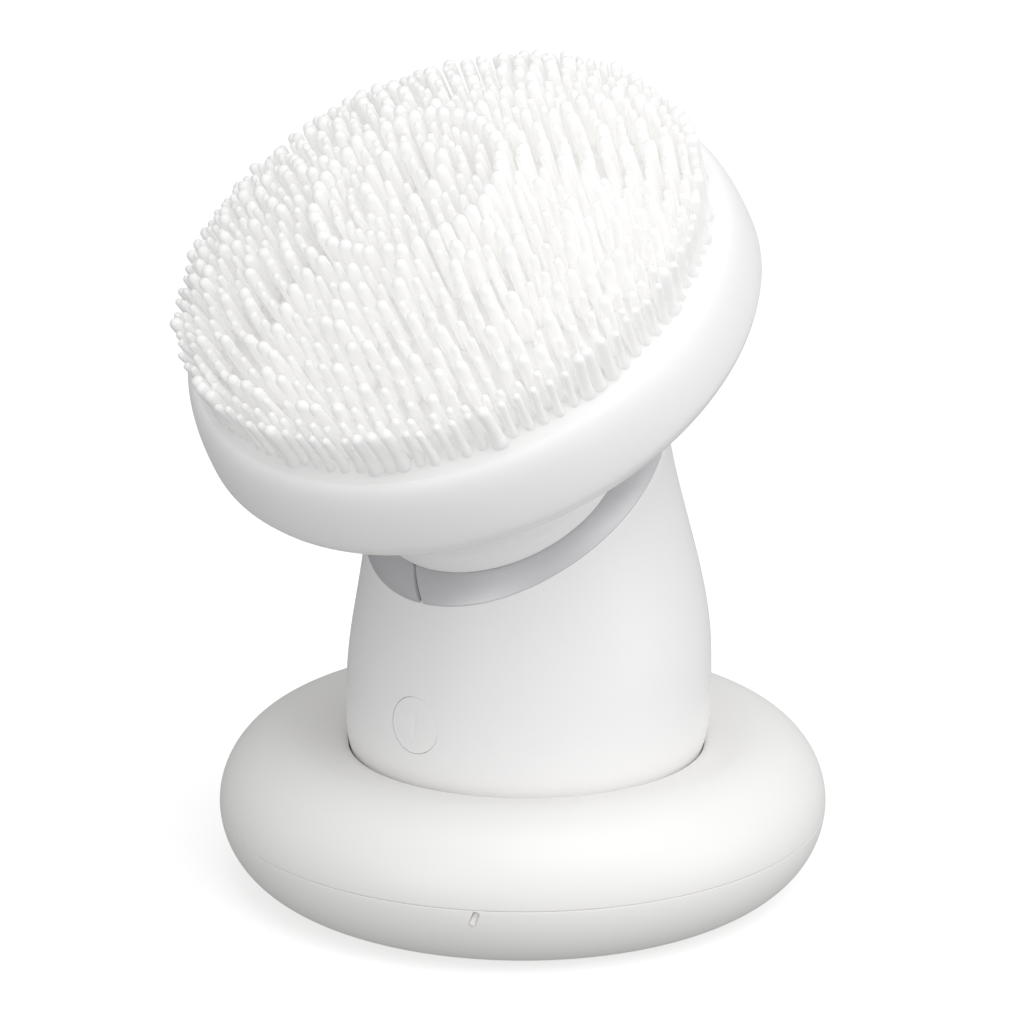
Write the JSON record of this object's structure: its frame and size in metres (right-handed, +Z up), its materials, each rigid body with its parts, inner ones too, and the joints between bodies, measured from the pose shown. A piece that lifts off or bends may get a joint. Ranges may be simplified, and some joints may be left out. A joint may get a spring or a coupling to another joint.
{
  "type": "facial cleansing brush",
  "caption": "Slanted round silicone facial cleansing brush that spins on an egg-shaped handle, standing in a round charging dock.",
  "frame": {"origin": "centre of the flat underside of the dock", "axes": "+Z up; -Y is the front, the side the brush head leans towards and the power button faces; X runs across"},
  "size_m": [0.073, 0.0801, 0.0993],
  "materials": {
    "dock_white": "satin warm white moulding",
    "handle_white": "satin white moulding",
    "silicone_white": "soft matte white silicone",
    "satin_metal": "satin silver",
    "pad_grey": "matte grey",
    "clear_window": "clear, gloss",
    "steel": "plain",
    "brass": "plain",
    "copper": "enamelled copper winding",
    "ferrite": "dark grey, matte",
    "circuit_board": "green solder mask",
    "cell_wrap": "blue wrap",
    "nylon_grey": "moulded grey",
    "nylon_white": "moulded white",
    "seal_black": "matte black",
    "lead_red": "insulated wire",
    "lead_black": "insulated wire"
  },
  "bodies": {
    "dock": {"dock_upper_shell": "dock_white", "dock_lower_shell": "dock_white", "anti_slip_pad": "pad_grey", "coil_ferrite": "ferrite", "transmit_coil": "copper", "dock_circuit_board": "circuit_board", "charging_inlet": "steel", "status_window": "clear_window", "dock_screw_1": "steel", "dock_screw_2": "steel", "dock_screw_3": "steel"},
    "handle": {"handle_shell": "handle_white", "trim_ring": "satin_metal", "neck_cover": "handle_white", "neck_o_ring": "seal_black", "shaft_seal": "seal_black", "spindle_bush": "brass", "gear_case": "nylon_grey", "gear_case_lid": "nylon_grey", "idler_axle": "steel", "gearbox_screw_1": "steel", "gearbox_screw_2": "steel", "gearbox_screw_3": "steel", "gearbox_screw_4": "steel", "motor_can": "steel", "motor_end_cap": "nylon_grey", "inner_chassis": "nylon_grey", "receive_coil": "copper", "receive_ferrite": "ferrite", "battery_cell": "cell_wrap", "main_circuit_board": "circuit_board", "tact_switch": "steel", "power_light": "clear_window", "motor_lead_red": "lead_red", "motor_lead_black": "lead_black", "battery_lead_red": "lead_red", "battery_lead_black": "lead_black"},
    "power_button": {"power_button": "handle_white"},
    "motor_rotor": {"motor_shaft": "steel", "motor_pinion": "brass"},
    "idler": {"idler_gear": "nylon_white"},
    "spindle": {"spindle": "steel", "output_gear": "nylon_white", "spindle_clip": "steel"},
    "head": {"silicone_face": "silicone_white", "bristle_field": "silicone_white", "head_core": "nylon_grey", "head_back_cover": "handle_white", "hub_socket": "nylon_grey", "hub_clip": "steel", "hub_screw_1": "steel", "hub_screw_2": "steel", "hub_screw_3": "steel"}
  },
  "joints": [
    {"name": "handle_lift", "type": "slide", "parent": "dock", "child": "handle", "axis": [0, 0, 1], "range_m": [0, 0.03]},
    {"name": "head_spin", "type": "hinge", "parent": "handle", "child": "spindle", "pos_m": [0, -0.0087, 0.06975], "axis": [0, -0.5299, 0.848], "continuous": true},
    {"name": "idler_spin", "type": "hinge", "parent": "handle", "child": "idler", "pos_m": [0, -0.01684, 0.06466], "axis": [0, -0.5299, 0.848], "continuous": true},
    {"name": "motor_spin", "type": "hinge", "parent": "handle", "child": "motor_rotor", "pos_m": [0, -0.02498, 0.05958], "axis": [0, -0.5299, 0.848], "continuous": true},
    {"name": "head_pull", "type": "slide", "parent": "spindle", "child": "head", "axis": [0, -0.5299, 0.848], "range_m": [0, 0.012]},
    {"name": "power_press", "type": "slide", "parent": "handle", "child": "power_button", "axis": [0, 1, 0], "range_m": [0, 0.0005], "stiffness_N_per_m": 400}
  ],
  "couplings": [
    {"joint": "idler_spin", "follows": "head_spin", "ratio": -3},
    {"joint": "motor_spin", "follows": "head_spin", "ratio": 9}
  ]
}
